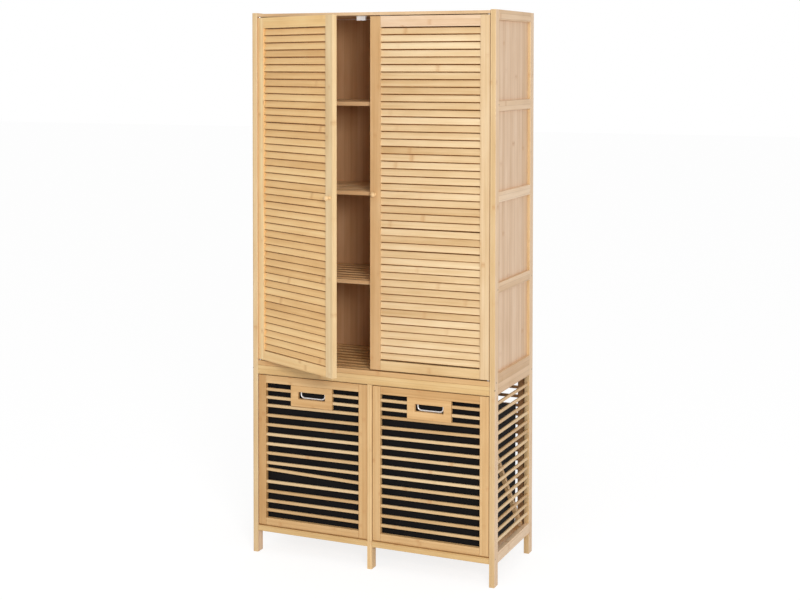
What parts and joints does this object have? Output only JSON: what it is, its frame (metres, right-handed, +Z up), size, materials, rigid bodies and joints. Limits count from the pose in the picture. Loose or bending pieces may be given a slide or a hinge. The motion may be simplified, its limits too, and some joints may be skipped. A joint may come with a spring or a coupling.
{
  "type": "bathroom cabinet",
  "caption": "Tall bamboo bathroom cabinet: a cupboard with louvred doors over tilt-out laundry hampers with slatted fronts and fabric bags.",
  "frame": {"origin": "on the floor under the middle front foot, on the cabinet's centre plane", "axes": "+Z up along the posts, -Y out of the front with the doors, +Y towards the wall, +X to the right seen from the front"},
  "size_m": [0.85, 0.5773, 1.8],
  "materials": {
    "frame_bamboo": "clear satin lacquer",
    "door_bamboo": "clear satin lacquer",
    "panel_bamboo": "clear satin lacquer",
    "black_fabric": "matte woven",
    "bright_steel": "bright plated",
    "white_plastic": "satin"
  },
  "bodies": {
    "cabinet": {"left_side_frame": "panel_bamboo", "right_side_frame": "panel_bamboo", "left_side_panel": "panel_bamboo", "right_side_panel": "panel_bamboo", "left_side_grille": "panel_bamboo", "right_side_grille": "panel_bamboo", "top_board": "frame_bamboo", "cupboard_floor": "frame_bamboo", "shelf_1": "panel_bamboo", "shelf_2": "panel_bamboo", "shelf_3": "panel_bamboo", "waist_front_rail": "frame_bamboo", "waist_rear_rail": "frame_bamboo", "foot_front_rail": "frame_bamboo", "foot_rear_rail": "frame_bamboo", "middle_post": "frame_bamboo", "back_panel": "panel_bamboo", "back_grille": "panel_bamboo", "left_magnet_catch": "white_plastic", "right_magnet_catch": "white_plastic"},
    "left_door": {"left_door_hinge_stile": "door_bamboo", "left_door_lock_stile": "door_bamboo", "left_door_top_rail": "door_bamboo", "left_door_bottom_rail": "door_bamboo", "left_door_louvres": "door_bamboo", "left_door_knob": "door_bamboo", "left_door_strike_plate": "bright_steel", "left_door_top_pin": "bright_steel", "left_door_bottom_pin": "bright_steel"},
    "right_door": {"right_door_hinge_stile": "door_bamboo", "right_door_lock_stile": "door_bamboo", "right_door_top_rail": "door_bamboo", "right_door_bottom_rail": "door_bamboo", "right_door_louvres": "door_bamboo", "right_door_knob": "door_bamboo", "right_door_strike_plate": "bright_steel", "right_door_top_pin": "bright_steel", "right_door_bottom_pin": "bright_steel"},
    "left_hamper": {"left_hamper_frame": "frame_bamboo", "left_hamper_slats": "frame_bamboo", "left_hamper_handle_plate": "frame_bamboo", "left_hamper_bail": "bright_steel", "left_hamper_floor": "frame_bamboo", "left_hamper_left_brace": "panel_bamboo", "left_hamper_right_brace": "panel_bamboo", "left_hamper_bag": "black_fabric", "left_hamper_left_pin": "bright_steel", "left_hamper_right_pin": "bright_steel"},
    "right_hamper": {"right_hamper_frame": "frame_bamboo", "right_hamper_slats": "frame_bamboo", "right_hamper_handle_plate": "frame_bamboo", "right_hamper_bail": "bright_steel", "right_hamper_floor": "frame_bamboo", "right_hamper_left_brace": "panel_bamboo", "right_hamper_right_brace": "panel_bamboo", "right_hamper_bag": "black_fabric", "right_hamper_left_pin": "bright_steel", "right_hamper_right_pin": "bright_steel"}
  },
  "joints": [
    {"name": "left_door_swing", "type": "hinge", "parent": "cabinet", "child": "left_door", "pos_m": [-0.4005, -0.0105, 0.6498], "axis": [0, 0, -1], "range_deg": [-27, 73]},
    {"name": "right_door_swing", "type": "hinge", "parent": "cabinet", "child": "right_door", "pos_m": [0.4005, -0.0105, 0.6498], "axis": [0, 0, 1], "range_deg": [0, 100]},
    {"name": "left_hamper_tilt", "type": "hinge", "parent": "cabinet", "child": "left_hamper", "pos_m": [-0.20738, -0.009, 0.099], "axis": [1, 0, 0], "range_deg": [0, 30]},
    {"name": "right_hamper_tilt", "type": "hinge", "parent": "cabinet", "child": "right_hamper", "pos_m": [0.20738, -0.009, 0.099], "axis": [1, 0, 0], "range_deg": [0, 30]}
  ]
}
